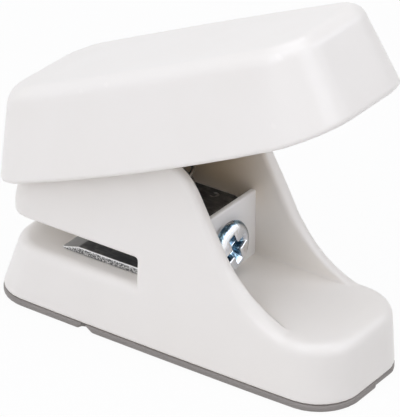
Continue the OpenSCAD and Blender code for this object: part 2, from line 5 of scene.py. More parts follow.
import bpy
import numpy as np
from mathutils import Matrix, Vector


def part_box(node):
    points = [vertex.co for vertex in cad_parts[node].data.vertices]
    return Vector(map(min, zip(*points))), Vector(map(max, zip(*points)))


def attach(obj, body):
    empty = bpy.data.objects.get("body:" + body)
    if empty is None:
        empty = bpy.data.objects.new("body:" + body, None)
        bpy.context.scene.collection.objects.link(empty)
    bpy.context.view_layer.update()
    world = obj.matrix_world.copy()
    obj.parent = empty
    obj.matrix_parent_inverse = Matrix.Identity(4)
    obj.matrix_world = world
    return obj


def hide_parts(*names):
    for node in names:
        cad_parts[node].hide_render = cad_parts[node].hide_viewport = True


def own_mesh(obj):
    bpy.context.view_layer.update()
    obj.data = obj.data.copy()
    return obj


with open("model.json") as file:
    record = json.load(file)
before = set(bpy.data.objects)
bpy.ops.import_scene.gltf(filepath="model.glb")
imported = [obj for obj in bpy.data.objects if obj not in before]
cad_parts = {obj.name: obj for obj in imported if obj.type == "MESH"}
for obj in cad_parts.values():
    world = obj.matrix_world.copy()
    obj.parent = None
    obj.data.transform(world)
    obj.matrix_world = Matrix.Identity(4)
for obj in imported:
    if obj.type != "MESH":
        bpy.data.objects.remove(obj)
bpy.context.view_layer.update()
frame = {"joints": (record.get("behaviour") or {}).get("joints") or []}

# Units and fineness: shapes are worked out in millimetres, and Blender holds metres
MM = 0.001
ARC_STEPS = 10
PLASTIC_CELL = 0.4
METAL_CELL = 0.25
FINE_CELL = 0.16


def edges(node):
    """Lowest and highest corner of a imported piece, in millimetres."""
    low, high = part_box(node)
    return np.array(low) / MM, np.array(high) / MM


def joint_place(name):
    """Point on a joint's axis, in millimetres."""
    found = [joint for joint in frame["joints"] if joint["name"] == name]
    return np.array(found[0]["pos_m"]) / MM


def joint_travel(name):
    """Length of a slide's range, in millimetres."""
    found = [joint for joint in frame["joints"] if joint["name"] == name]
    return (found[0]["range_m"][1] - found[0]["range_m"][0]) / MM


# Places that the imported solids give
body_low, body_high = edges("body_shell")
die_low, die_high = edges("die_bracket")
arm_low, arm_high = edges("guide_bracket")
punch_low, punch_high = edges("punch")
head_low, head_high = edges("punch_head")
guide_low, guide_high = edges("punch_guide")
screw_low, screw_high = edges("frame_screw")
nut_low, nut_high = edges("nut_plate")
seat_low, seat_high = edges("spring_seat")
pin_low, pin_high = edges("pivot_pin")
clip_low, clip_high = edges("pin_clips")
core_high = edges("lever_core")[1]
shoe_low, shoe_high = edges("press_shoe")
anchor_low, anchor_high = edges("cover_anchor")
flap_low, flap_high = edges("chip_cover")
spring_low, spring_high = edges("return_spring")
cross_low, cross_high = edges("head_pin")
web_rivet_low, web_rivet_high = edges("frame_rivets")
arm_rivet_low, arm_rivet_high = edges("guide_rivets")
pivot = joint_place("lever_pivot")
fold_x = joint_place("cover_fold")[0]

# Base and bottom cover
base_front = body_low[0]
base_rear = body_high[0]
base_half = body_high[1]
base_middle = (base_front + base_rear) / 2
base_corner = 8.7
base_bow = 0.5
base_top = die_low[2]
base_edge = 1.8
mouth_edge = 1.9
tail_edge = 2.4
body_bottom = body_low[2]
seam_height = 1.55
seam_gap = 0.04
wall = 2.0
roof = 2.0
jaw_lean = math.tan(math.radians(20))
tail_lean = math.tan(math.radians(3))
side_lean = math.tan(math.radians(2.5))
cover_top = seam_height - seam_gap
cover_edge = 0.35
lip_clearance = 0.35
lip_thickness = 1.2
lip_top = flap_high[2]

# Upper jaw and side walls
slot_end = punch_high[0] - 0.3
jaw_front = slot_end - 31.5
jaw_corner = 6.5
low_jaw_corner = 5.3
slot_top = punch_low[2] - 0.5
jaw_floor = slot_top + 2.0
plate_half = die_high[1]
inner_half = plate_half + 0.2
front_wall_top = pivot[2] - 6.0
side_wall_top = body_high[2]
wall_slope = 61.7
wall_sweep = 24.0
wall_shoulder = 11.0
sweep_sink = 1.2
wall_foot = slot_end + 24.5
stop_back = slot_end + 1.2

# Steel frame, block and screw
block_front = die_high[0]
block_back = block_front + 1.2
arm_top = arm_high[2]
block_top = arm_top + 2.35
plate = block_front - arm_high[0]
arm_bottom = arm_top - plate
die_front = die_low[0]
bend = 0.4
lead_length = 4.2
lead_drop = 1.2
screw_z = (screw_low[2] + screw_high[2]) / 2
screw_r = 2.5
screw_head_r = screw_high[1] + 0.5

# Punch and its head
punch_x = (punch_low[0] + punch_high[0]) / 2
punch_half = punch_high[1]
round_x = punch_low[0] + punch_half
stem_half = 1.3
head_r = head_high[1]
hub_r = cross_high[1] + 0.2
arm_hole_r = (punch_high[0] - punch_low[0]) / 2 + 0.6
pin_r = (pin_high[2] - pin_low[2]) / 2

# Lever, in its own frame at the pivot pin, tilted as it rests
lever_tilt = math.radians(22.8)
lever_depth = 16.4
rim_drop = 6.5
lever_top = lever_depth - rim_drop
lever_half = 14.5
top_front = -7.3
top_rear = 64.4
front_flare = 8.6
rear_flare = 2.3
side_flare = 3.4
lever_corner = 11.0
lever_bow = 1.2
lever_edge = 2.6
lever_wall = 2.0
rim_arch = 1.2


# Rounded joins of two fields, each negative inside its own form
def both(a, b, r):
    """Where a and b overlap, with the edge between them rounded."""
    corner = np.hypot(np.maximum(a + r, 0), np.maximum(b + r, 0))
    return np.minimum(np.maximum(a, b), -r) + corner


def either(a, b, r):
    """Where a or b is, with the corner between them filled."""
    corner = np.hypot(np.maximum(r - a, 0), np.maximum(r - b, 0))
    return np.maximum(np.minimum(a, b), r) - corner


def without(a, b, r):
    """What b leaves of a, with the cut edge rounded."""
    return both(a, -b, r)


def between(value, low, high):
    """A slab from low to high."""
    return np.maximum(low - value, value - high)


def ease(value, low, high):
    """Smooth rise from 0 at low to 1 at high."""
    t = np.clip((value - low) / (high - low), 0, 1)
    return t * t * (3 - 2 * t)


def fade(value, origin, span):
    """Smooth rise from 0 to 1 over a span measured from an origin."""
    return ease(value, origin + span[0], origin + span[1])


def outline(x, y, front, rear, half, corner):
    """Rounded rectangle from front to rear, as wide as half on each side."""
    across = np.abs(y) - (half - corner)
    along = np.abs(x - (front + rear) / 2) - ((rear - front) / 2 - corner)
    outside = np.hypot(np.maximum(along, 0), np.maximum(across, 0))
    return outside + np.minimum(np.maximum(along, across), 0) - corner


def sag(x, middle, reach, bow):
    """How far a bowed side has come in from its widest place."""
    return bow * np.clip((x - middle) / reach, -1, 1) ** 2


def brick(x, y, z, low, high):
    """Box between two corners."""
    return np.maximum(
        np.maximum(between(x, low[0], high[0]), between(y, low[1], high[1])), between(z, low[2], high[2])
    )


def rounded_path(corners):
    """Points of a closed outline whose corners (u, v, radius) are arcs."""
    points = []
    for k, (u, v, r) in enumerate(corners):
        at = np.array([u, v])
        if r == 0:
            points.append(at)
            continue
        back = np.array(corners[k - 1][:2]) - at
        ahead = np.array(corners[(k + 1) % len(corners)][:2]) - at
        back = back / np.linalg.norm(back)
        ahead = ahead / np.linalg.norm(ahead)
        half = math.acos(np.clip(back @ ahead, -1, 1)) / 2
        middle = (back + ahead) / np.linalg.norm(back + ahead)
        centre = at + middle * r / math.sin(half)
        first = at + back * r / math.tan(half) - centre
        last = at + ahead * r / math.tan(half) - centre
        start = math.atan2(first[1], first[0])
        turn = math.remainder(math.atan2(last[1], last[0]) - start, math.tau)
        for i in range(ARC_STEPS + 1):
            angle = start + turn * i / ARC_STEPS
            points.append(centre + r * np.array([math.cos(angle), math.sin(angle)]))
    return np.array(points)


def profile(points, u, v):
    """Signed distance to a closed outline in the u, v plane."""
    nearest = np.full(np.broadcast(u, v).shape, 1e9)
    inside = np.zeros(nearest.shape, bool)
    for a, b in zip(points, np.roll(points, -1, axis=0)):
        run = b - a
        length = max(run @ run, 1e-12)
        t = np.clip(((u - a[0]) * run[0] + (v - a[1]) * run[1]) / length, 0, 1)
        nearest = np.minimum(nearest, np.hypot(u - a[0] - t * run[0], v - a[1] - t * run[1]))
        if a[1] != b[1]:
            crosses = (v < a[1]) != (v < b[1])
            inside = inside ^ (crosses & (u < a[0] + (v - a[1]) * run[0] / run[1]))
    return np.where(inside, -nearest, nearest)


def mushroom(x, y, grow):
    """Plan section of the punch, grown by a clearance."""
    head = np.hypot(x - round_x, y) - punch_half - grow
    stem = np.maximum(between(x, round_x, punch_high[0] + grow), np.abs(y) - stem_half - grow)
    return np.minimum(head, stem)


# A mesh over the surface where a field is zero
CORNERS = [(i, j, k) for i in (0, 1) for j in (0, 1) for k in (0, 1)]


def shifted(grid, corner):
    """The part of a grid that holds one corner of every cell."""
    spans = [slice(c, n - 1 + c) for c, n in zip(corner, grid.shape)]
    return grid[tuple(spans)]


def cell_points(field, cells):
    """Mean place of the surface in each cell that it crosses, in grid steps."""
    total = np.zeros(cells.shape)
    count = np.zeros(len(cells))
    for corner in CORNERS:
        for axis in range(3):
            if corner[axis]:
                continue
            a = cells + corner
            b = a.copy()
            b[:, axis] += 1
            at_a = field[tuple(a.T)]
            at_b = field[tuple(b.T)]
            crossed = (at_a < 0) != (at_b < 0)
            share = np.where(crossed, at_a / np.where(crossed, at_a - at_b, 1), 0)
            place = a.astype(float)
            place[:, axis] += share
            total += place * crossed[:, None]
            count += crossed
    return total / count[:, None]


def cell_faces(inside, ids):
    """Four-sided faces, one round each grid edge that the surface crosses."""
    faces = []
    for axis in range(3):
        u, v = [k for k in range(3) if k != axis]
        near = [slice(1, -1)] * 3
        near[axis] = slice(0, -1)
        far = list(near)
        far[axis] = slice(1, None)
        a, b = inside[tuple(near)], inside[tuple(far)]
        for flip in (False, True):
            at = np.argwhere((a & ~b) if flip != (axis == 1) else (~a & b))
            at[:, u] += 1
            at[:, v] += 1
            ring = []
            for du, dv in ((0, 0), (0, -1), (-1, -1), (-1, 0)):
                cell = at.copy()
                cell[:, u] += du
                cell[:, v] += dv
                ring.append(ids[tuple(cell.T)])
            ring = np.stack(ring, axis=1)
            faces.append(ring[:, ::-1] if flip else ring)
    return np.concatenate(faces)


def surface_normals(field, places):
    """Unit slopes of the field at places given in grid steps."""
    slopes = np.gradient(field)
    base = np.clip(np.floor(places).astype(int), 0, np.array(field.shape) - 2)
    share = places - base
    found = np.zeros(places.shape)
    for corner in CORNERS:
        weight = np.prod(np.where(corner, share, 1 - share), axis=1)
        at = tuple((base + corner).T)
        for axis in range(3):
            found[:, axis] += weight * slopes[axis][at]
    return found / np.maximum(np.linalg.norm(found, axis=1), 1e-9)[:, None]


def mesh_piece(name, points, faces, normals=None):
    """Object of a mesh given in millimetres, smooth all over."""
    mesh = bpy.data.meshes.new(name)
    sides = faces.shape[1]
    mesh.vertices.add(len(points))
    mesh.vertices.foreach_set("co", (points * MM).astype(np.float32).ravel())
    mesh.loops.add(faces.size)
    mesh.loops.foreach_set("vertex_index", faces.astype(np.int32).ravel())
    mesh.polygons.add(len(faces))
    mesh.polygons.foreach_set("loop_start", np.arange(0, faces.size, sides, dtype=np.int32))
    mesh.polygons.foreach_set("use_smooth", np.ones(len(faces), bool))
    mesh.update(calc_edges=True)
    mesh.validate()
    if normals is not None:
        mesh.normals_split_custom_set_from_vertices(normals)
    made = bpy.data.objects.new(name, mesh)
    bpy.context.collection.objects.link(made)
    return made


def skin(name, field, low, high, cell, place=None):
    """Object over the zero surface of a field between two corners, moved by place if it is given."""
    margin = 2 * cell
    axes = [np.arange(a - margin, b + margin + cell, cell) for a, b in zip(low, high)]
    x, y, z = np.meshgrid(*axes, indexing="ij", sparse=True)
    shape = tuple(len(axis) for axis in axes)
    values = np.broadcast_to(field(x, y, z), shape)
    values = np.where(values == 0, 1e-6, values)
    inside = values < 0
    full = sum(shifted(inside, corner).astype(np.int8) for corner in CORNERS)
    mixed = (full > 0) & (full < 8)
    cells = np.argwhere(mixed)
    ids = np.full(mixed.shape, -1)
    ids[mixed] = np.arange(len(cells))
    places = cell_points(values, cells)
    normals = surface_normals(values, places)
    points = places * cell + np.array([axis[0] for axis in axes])
    if place is not None:
        turn, shift = place
        points = points @ turn.T + shift
        normals = normals @ turn.T
    return mesh_piece(name, points, cell_faces(inside, ids), normals)


# White body: lower jaw, upper jaw with the side walls, and tail
jaw_edge = 0.45
wall_edge = 0.9
inner_edge = 1.2
front_inner_edge = 0.5
sharp = 0.01
crease = 0.25
cut_edge = 0.15
hollow_corner = 1.0
hollow_edge = 0.2
foot_edge = 0.3
cut_past = 1.0
pass_gap = 0.2
stem_gap = 1.0
chip_gap = 0.7
guide_half = punch_half + 3.8
flange_reach = 4.1
eye_r = pin_r + 2.2

# Spans over which one rounding of the body changes to another
mouth_fade = (4, 13)
tail_fade = (-6, 6)
sweep_fade_along = (-13, 3)
sweep_fade_up = (6, 18)
jaw_fade = (1, 5)
corner_fade = (2, 5.5)
inner_fade = (-4, 4)
inner_tail_fade = (-8, 4)


def base_plan(x, y, z, front, lean, corner, inset):
    """Outline of the base at each height, drawn in by an inset."""
    up = z - body_bottom
    reach = (base_rear - base_front) / 2
    half = base_half - up * side_lean - sag(x, base_middle, reach, base_bow) - inset
    rear = base_rear - up * tail_lean - inset
    return outline(x, y, front + up * lean + inset, rear, half, corner - inset)


def jaw_path():
    """Side view of the upper jaw, the walls and the tail."""
    under = body_bottom - 5
    past = base_rear + 10
    shoulder = wall_foot - (side_wall_top - base_top) / math.tan(math.radians(wall_slope))
    return rounded_path([
        (slot_end, under, 0),
        (slot_end, slot_top, 0.5),
        (jaw_front, slot_top, 2.0),
        (jaw_front, front_wall_top, 1.5),
        (pivot[0] - eye_r - 1, front_wall_top + wall, 1.0),
        (pivot[0] - eye_r, side_wall_top, 3.0),
        (shoulder, side_wall_top, wall_shoulder),
        (wall_foot + sweep_sink / math.tan(math.radians(wall_slope)), base_top - sweep_sink, wall_sweep),
        (past, base_top - sweep_sink, 0),
        (past, under, 0),
    ])


def space_path():
    """Side view of the space between the walls."""
    over = side_wall_top + 20
    past = base_rear + 10
    return rounded_path([
        (jaw_front - 5, over, 0),
        (jaw_front - 5, front_wall_top, 0),
        (jaw_front + wall, front_wall_top, 0.4),
        (jaw_front + wall, jaw_floor, 0.5),
        (stop_back, jaw_floor, 0.4),
        (stop_back, base_top, 0.3),
        (past, base_top, 0),
        (past, over, 0),
    ])


def body_field(x, y, z):
    mouth = 1 - fade(x, base_front, mouth_fade)
    tail = fade(x, wall_foot, tail_fade)
    lower_edge = base_edge + (mouth_edge - base_edge) * mouth + (tail_edge - base_edge) * tail
    lower = both(base_plan(x, y, z, base_front, jaw_lean, base_corner, 0), z - base_top, lower_edge)
    sweep = fade(x, wall_foot, sweep_fade_along) * (1 - fade(z, base_top, sweep_fade_up))
    upper_edge = jaw_edge + (wall_edge - jaw_edge) * fade(z, slot_top, jaw_fade)
    upper_edge = upper_edge + (tail_edge - jaw_edge) * sweep
    front_corner = low_jaw_corner + (jaw_corner - low_jaw_corner) * fade(z, slot_top, corner_fade)
    corner = np.where(x < base_middle, front_corner, base_corner)
    upper = both(base_plan(x, y, z, jaw_front, 0, corner, 0), profile(jaw_path(), x, z), upper_edge)
    form = np.minimum(lower, upper)
    space = both(np.abs(y) - inner_half, profile(space_path(), x, z), crease)
    inner = front_inner_edge + (inner_edge - front_inner_edge) * fade(x, slot_end, inner_fade)
    form = without(form, space, sharp + inner * (1 - fade(x, wall_foot, inner_tail_fade)))
    plate_pass = brick(
        x, y, z,
        (slot_end - cut_past, -inner_half, base_top),
        (stop_back + cut_past, inner_half, base_top + plate + pass_gap),
    )
    guide_pass = brick(
        x, y, z,
        (guide_low[0] + flange_reach - pass_gap, -guide_half, slot_top - cut_past),
        (guide_high[0] + pass_gap, guide_half, jaw_floor + cut_past),
    )
    stem_pass = brick(
        x, y, z,
        (slot_end - cut_past, -stem_half - stem_gap, base_top),
        (stop_back + cut_past, stem_half + stem_gap, jaw_floor + cut_past),
    )
    form = without(form, np.minimum(np.minimum(plate_pass, guide_pass), stem_pass), cut_edge)
    inside = base_plan(x, y, z, base_front, jaw_lean, base_corner, wall)
    hollow = both(inside, z - (base_top - roof), hollow_corner)
    form = without(form, hollow, hollow_edge)
    chips = np.maximum(
        mushroom(x, y, chip_gap), between(z, base_top - roof - cut_past, base_top + cut_past)
    )
    form = without(form, chips, cut_edge)
    form = np.maximum(form, pin_r - np.hypot(x - pivot[0], z - pivot[2]))
    return both(form, seam_height - z, foot_edge)


# Cross block between the walls, let a little into them and into the floor
block_edge = 0.15
block_bury = 0.4
screw_gap = 0.2
block_low = (block_front, -inner_half - block_bury, base_top - block_bury)
block_high = (block_back, inner_half + block_bury, block_top)


def block_field(x, y, z):
    form = both(between(x, block_front, block_back), z - block_top, block_edge)
    form = np.maximum(form, np.maximum(np.abs(y) - block_high[1], block_low[2] - z))
    bore = np.hypot(y, z - screw_z) - screw_r - screw_gap
    return np.maximum(form, -bore)


# Grey bottom cover, in two parts that meet at the fold
fold_gap = 0.06
notch_top = cover_top - 0.3
notch_reach = 1.2
notch_corner = 0.4
notch_edge = 0.2
fold_edge = 0.2
pry_offset = 1.3
pry_width = 7.0
pry_depth = 0.45
lip_root = 0.5
lip_edge = 0.25

# Side view of the notch at the fold: distance from the fold, height and corner radius
notch_corners = [
    (-2.2, -1.0, 0),
    (-1.1, 0.3, 0.4),
    (-0.5, notch_top, 0.3),
    (0.3, notch_top, 0.3),
    (1.6, 0.25, 0.3),
    (3.4, -1.0, 0),
]


def cover_field(x, y, z):
    reach = (base_rear - base_front) / 2
    half = base_half - sag(x, base_middle, reach, base_bow)
    plan = outline(x, y, base_front, base_rear, half, base_corner)
    sheet = both(plan, between(z, 0, cover_top), cover_edge)
    inset = wall + lip_clearance
    ring = np.maximum(
        base_plan(x, y, z, base_front, jaw_lean, base_corner, inset),
        -base_plan(x, y, z, base_front, jaw_lean, base_corner, inset + lip_thickness),
    )
    lip = both(ring, between(z, cover_top - lip_root, lip_top), lip_edge)
    form = either(sheet, lip, lip_edge)
    valley = profile(rounded_path([(fold_x + u, v, r) for u, v, r in notch_corners]), x, z)
    form = without(form, both(valley, half - notch_reach - np.abs(y), notch_corner), notch_edge)
    pry = np.maximum(between(y, pry_offset, pry_offset + pry_width), base_rear - pry_depth - x)
    return without(form, pry, cut_edge)


def flap_field(x, y, z):
    return both(cover_field(x, y, z), fold_x + fold_gap - x, fold_edge)


def anchor_field(x, y, z):
    return both(cover_field(x, y, z), x - fold_x + fold_gap, fold_edge)


# White lever, in its own frame
rim_edge = 0.8
lip_round = 0.5
hollow_round = lever_edge - 1


def lever_plan(x, y, h, inset):
    """Outline of the lever's skirt at each height, drawn in by an inset."""
    fall = 1 - (h + rim_drop) / lever_depth
    front = top_front - front_flare * fall + inset
    rear = top_rear + rear_flare * fall - inset
    bow = sag(x, (front + rear) / 2, (rear - front) / 2, lever_bow)
    half = lever_half + side_flare * fall - inset - bow
    return outline(x, y, front, rear, half, lever_corner - side_flare * (1 - fall) - inset)


def lever_field(x, y, h):
    rim_front = top_front - front_flare
    rim_rear = top_rear + rear_flare
    bulge = 1 - np.clip((2 * x - rim_front - rim_rear) / (rim_rear - rim_front), -1, 1) ** 2
    form = both(lever_plan(x, y, h, 0), h - lever_top, lever_edge)
    form = both(form, -rim_drop - rim_arch * bulge - h, rim_edge)
    hollow = both(lever_plan(x, y, h, lever_wall), h - (lever_top - lever_wall), hollow_round)
    return without(form, hollow, lip_round)


# Inner carrier of the lever, with its pivot eyes, pressing nose and heel
cheek_inner = head_r + 0.3
cheek_outer = core_high[1]
shoe_r = 1.6
nose_half = 2.2
core_web = 2.0
core_reach = 18.0
core_front = core_web - eye_r
core_fillet = 0.4
core_overlap = 0.1
cheek_edge = 0.3
heel_inset = 0.6
heel_past = 0.3
heel_gap = 0.1
pin_gap = 0.05
shoe_edge = 0.25
lever_roof = lever_top - lever_wall


def in_lever(x, z):
    """A point of the side view in the lever's own frame."""
    dx = x - pivot[0]
    dz = z - pivot[2]
    cos, sin = math.cos(lever_tilt), math.sin(lever_tilt)
    return dx * cos + dz * sin, dz * cos - dx * sin


shoe_x, shoe_h = in_lever((shoe_low[0] + shoe_high[0]) / 2, (shoe_low[2] + shoe_high[2]) / 2)
core_rear = shoe_x + core_reach


def core_field(x, y, h):
    cheek = np.minimum(np.hypot(x, h) - eye_r, profile(rounded_path([
        (core_front, lever_roof, 0),
        (core_front - core_web, lever_roof - 2 * core_web, 0.5),
        (core_front - core_web, 0, 0.5),
        (0, -eye_r, 0),
        (shoe_x - nose_half, shoe_h, 0),
        (shoe_x + nose_half, shoe_h, 1.0),
        (core_rear, lever_roof - core_web, 0.4),
        (core_rear, lever_roof, 0),
    ]), x, h))
    form = both(cheek, between(np.abs(y), cheek_inner, cheek_outer), cheek_edge)
    heel_front = in_lever(jaw_front + heel_inset, front_wall_top + heel_gap)
    heel_back = in_lever(jaw_front + wall + heel_past, front_wall_top + heel_gap)
    heel = profile(np.array([
        heel_front,
        heel_back,
        (core_front + core_web, lever_roof - core_web),
        (core_front + core_web, lever_roof),
        (core_front, lever_roof),
        (core_front - core_web, lever_roof - core_web),
    ]), x, h)
    roof_web = np.maximum(between(x, core_front, core_rear), between(h, lever_roof - core_web, lever_roof))
    nose = np.maximum(between(x, shoe_x - nose_half, shoe_x + nose_half), between(h, shoe_h, lever_roof))
    middle = np.minimum(np.minimum(heel, roof_web), nose)
    middle = np.maximum(middle, np.abs(y) - cheek_inner - core_overlap)
    form = either(form, middle, core_fillet)
    form = np.maximum(form, pin_r + pin_gap - np.hypot(x, h))
    bar = np.maximum(np.hypot(x - shoe_x, h - shoe_h) - shoe_r, np.abs(y) - shoe_high[1])
    return np.maximum(form, -bar)


def shoe_field(x, y, h):
    return both(np.hypot(x - shoe_x, h - shoe_h) - shoe_r, np.abs(y) - shoe_high[1], shoe_edge)


# Dark steel die plate and arm, each a strip with one bend
rivet_r = 0.9
web_rivet_y = plate_half - 2
arm_rivet_y = 5.0
arm_rivet_x = (arm_rivet_low[0] + arm_rivet_high[0]) / 2
sheared_edge = 0.12
die_clearance = 0.14
die_corner = 1.0
lead_edge = 0.05
dimple_x = -1.0
dimple_y = 7.6
dimple_r = 1.9
dimple_rise = 1.6
dimple_edge = 0.05
burr = 0.03
burr_fade = (0, 3)


def tear(u, v):
    """Small uneven waves of a sheared edge."""
    return (
        np.sin(7.3 * u + 1.9 * np.sin(2.1 * v + 0.4 * u)) * np.sin(4.1 * v + 1.3)
        + 0.6 * np.sin(13.7 * u + 5.1 * v) + 0.4 * np.sin(23.9 * u - 9.7 * v)
    ) / 2


def bent_strip(x, z, corner, level_end, upright_end):
    """Side view of a strip bent once at a corner."""
    level = math.copysign(1, level_end - corner[0])
    up = math.copysign(1, upright_end - corner[1])
    inner_x = corner[0] + level * plate
    inner_z = corner[1] + up * plate
    return profile(rounded_path([
        (corner[0], corner[1], plate + bend),
        (level_end, corner[1], 0),
        (level_end, inner_z, 0),
        (inner_x, inner_z, bend),
        (inner_x, upright_end, 0),
        (corner[0], upright_end, 0),
    ]), x, z)


def web_bores(y, z):
    """Screw and rivet bores through the upright webs."""
    rivets = np.hypot(np.abs(y) - web_rivet_y, z - screw_z) - rivet_r
    return np.minimum(np.hypot(y, z - screw_z) - screw_r - screw_gap, rivets)


def die_field(x, y, z):
    strip = bent_strip(x, z, (block_front, base_top), die_front, arm_top)
    rough = burr * tear(x, z) * (1 - fade(x, stop_back, burr_fade))
    side = outline(x, y, die_front, block_front + 10, plate_half, die_corner) + np.maximum(rough, 0)
    form = both(strip, side, sheared_edge)
    ramp = (z - (base_top + plate - lead_drop) - (x - die_front) * lead_drop / lead_length) * lead_length
    form = both(form, ramp / math.hypot(lead_drop, lead_length), lead_edge)
    form = np.maximum(form, -np.maximum(web_bores(y, z), arm_high[0] - 1 - x))
    punched = np.maximum(mushroom(x, y, die_clearance), z - base_top - plate - 1)
    return np.maximum(form, -punched)


def arm_field(x, y, z):
    strip = bent_strip(x, z, (arm_high[0], arm_top), arm_low[0], arm_low[2])
    form = both(strip, np.abs(y) - plate_half, sheared_edge)
    form = np.maximum(form, -np.maximum(web_bores(y, z), arm_high[0] - plate - 1 - x))
    aside = (x - dimple_x) ** 2 + (np.abs(y) - dimple_y) ** 2
    dimple = np.sqrt(aside + (z - arm_top - dimple_rise) ** 2) - dimple_r
    form = without(form, dimple, dimple_edge)
    well = np.hypot(x - punch_x, y) - arm_hole_r
    rivets = np.hypot(x - arm_rivet_x, np.abs(y) - arm_rivet_y) - rivet_r
    return np.maximum(form, -np.maximum(np.minimum(well, rivets), arm_bottom - 1 - z))


# Guide, punch, head and washer
guide_clearance = 0.06
guide_fillet = 0.3
punch_edge = 0.08
head_edge = 0.6
hub_edge = 0.3
head_fit = 0.02
cross_edge = 0.15
seat_edge = 0.12
cross_r = (cross_high[2] - cross_low[2]) / 2
cross_z = (cross_high[2] + cross_low[2]) / 2
head_under = spring_high[2] + 0.04
hub_bottom = head_low[2]
socket_top = punch_high[2]


def guide_field(x, y, z):
    nose = brick(
        x, y, z,
        (guide_low[0] + flange_reach, -guide_half + pass_gap, guide_low[2]),
        (guide_high[0], guide_half - pass_gap, arm_bottom),
    )
    flange = brick(
        x, y, z,
        (guide_low[0], guide_low[1], jaw_floor),
        (guide_high[0], guide_high[1], arm_bottom),
    )
    form = either(nose, flange, guide_fillet)
    form = np.maximum(form, -mushroom(x, y, guide_clearance))
    return np.maximum(form, rivet_r - np.hypot(x - arm_rivet_x, np.abs(y) - arm_rivet_y))


def punch_field(x, y, z):
    form = both(mushroom(x, y, 0), between(z, punch_low[2], punch_high[2]), punch_edge)
    return np.maximum(form, cross_r - np.hypot(x - round_x, z - cross_z))


def head_field(x, y, z):
    r = np.hypot(x - punch_x, y)
    flange = both(r - head_r, between(z, head_under, head_high[2]), head_edge)
    hub = both(r - hub_r, between(z, hub_bottom, head_under + 1), hub_edge)
    form = either(flange, hub, hub_edge)
    form = np.maximum(form, -np.maximum(mushroom(x, y, head_fit), z - socket_top))
    return np.maximum(form, cross_r - np.hypot(x - round_x, z - cross_z))


def cross_pin_field(x, y, z):
    return both(np.hypot(x - round_x, z - cross_z) - cross_r, np.abs(y) - cross_high[1], cross_edge)


def seat_field(x, y, z):
    r = np.hypot(x - punch_x, y)
    return both(between(r, arm_hole_r, head_r), between(z, seat_low[2], seat_high[2]), seat_edge)


# Screw with a pan head and a cross recess, nut plate and rivets
head_round = 1.5
crown_flat = 1.0
crown_fall = 0.01925
shank_edge = 0.3
shank_bury = 0.5
thread_depth = 0.12
thread_pitch = 0.8
recess_turn = math.radians(24)
recess_depth = 1.9
recess_edge = 0.14
recess_fillet = 0.3
wing_wide, wing_taper = 3.5, 1.7
blade_wide, blade_taper = 0.92, 0.3
centre_wide, centre_taper = 1.5, 0.6
nut_edge = 0.2
rivet_rim = 1.5
rivet_fall = 0.3
rivet_dome_edge = 0.3
rivet_end_edge = 0.1


def thread(x, y, z):
    """Ridge and groove of the screw's thread."""
    return thread_depth * np.sin(math.tau * x / thread_pitch + np.arctan2(z - screw_z, y))


def screw_field(x, y, z):
    r = np.hypot(y, z - screw_z)
    face = screw_high[0]
    crown = face - crown_fall * np.maximum(r - crown_flat, 0) ** 2
    head = both(r - screw_head_r, np.maximum(block_back - x, x - crown), head_round)
    head = np.maximum(head, block_back - x)
    cut = thread_depth + thread(x, y, z) * (x < nut_high[0])
    shank = both(r - screw_r + cut, between(x, screw_low[0], block_back + shank_bury), shank_edge)
    form = either(head, shank, 0.1)
    c, s = math.cos(recess_turn), math.sin(recess_turn)
    u = np.abs(y * c + (z - screw_z) * s)
    v = np.abs((z - screw_z) * c - y * s)
    sunk = np.clip((face - x) / recess_depth, 0, 1)
    wing_half = wing_wide - wing_taper * sunk
    blade_half = blade_wide - blade_taper * sunk
    wings = np.minimum(
        np.maximum(u - wing_half, v - blade_half), np.maximum(v - wing_half, u - blade_half)
    )
    centre = np.hypot(u, v) - (centre_wide - centre_taper * sunk)
    recess = np.maximum(either(wings, centre, recess_fillet), face - recess_depth - x)
    return without(form, recess, recess_edge)


def nut_field(x, y, z):
    bore = np.hypot(y, z - screw_z) - screw_r + thread(x, y, z)
    return without(brick(x, y, z, nut_low, nut_high), bore, nut_edge)


def rivet_form(r, t, shank, height):
    """Domed rivet head above zero on a shank below it."""
    crown = t - height + rivet_fall * (r / rivet_rim) ** 2
    dome = both(r - rivet_rim, np.maximum(-t, crown), rivet_dome_edge)
    return np.minimum(dome, both(r - rivet_r, between(t, -shank, 0.2), rivet_end_edge))


def web_rivets_field(x, y, z):
    r = np.hypot(np.abs(y) - web_rivet_y, z - screw_z)
    seat = nut_high[0]
    return rivet_form(r, seat - x, web_rivet_high[0] - seat, seat - web_rivet_low[0])


def arm_rivets_field(x, y, z):
    r = np.hypot(x - arm_rivet_x, np.abs(y) - arm_rivet_y)
    return rivet_form(r, z - arm_top, arm_top - arm_rivet_low[2], arm_rivet_high[2] - arm_top)


# Hinge pin with its two clips
clip_r = pin_r + 1.2
groove_r = pin_r - 0.3
groove_gap = 0.02
clip_outer = clip_high[1]
clip_inner = clip_outer - 0.8
clip_edge = 0.12
clip_mouth_edge = 0.2
lobe_r = 0.45
lobe_share = 0.72
pin_edge = 0.35


def pin_field(x, y, z):
    r = np.hypot(x - pivot[0], z - pivot[2])
    form = both(r - pin_r, np.abs(y) - pin_high[1], pin_edge)
    groove = np.maximum(groove_r - r, between(np.abs(y), clip_inner - groove_gap, clip_outer + groove_gap))
    return np.maximum(form, -groove)


def clips_field(x, y, z):
    r = np.hypot(x - pivot[0], z - pivot[2])
    ring = np.maximum(r - clip_r, groove_r + groove_gap - r)
    mouth = np.maximum(np.abs(x - pivot[0]) - pin_r / 2, z - pivot[2])
    ring = without(ring, mouth, clip_mouth_edge)
    lobe = clip_r * lobe_share
    lobes = np.hypot(np.abs(x - pivot[0]) - lobe, z - pivot[2] - lobe) - lobe_r
    ring = without(ring, lobes, cut_edge)
    return both(ring, between(np.abs(y), clip_inner, clip_outer), clip_edge)


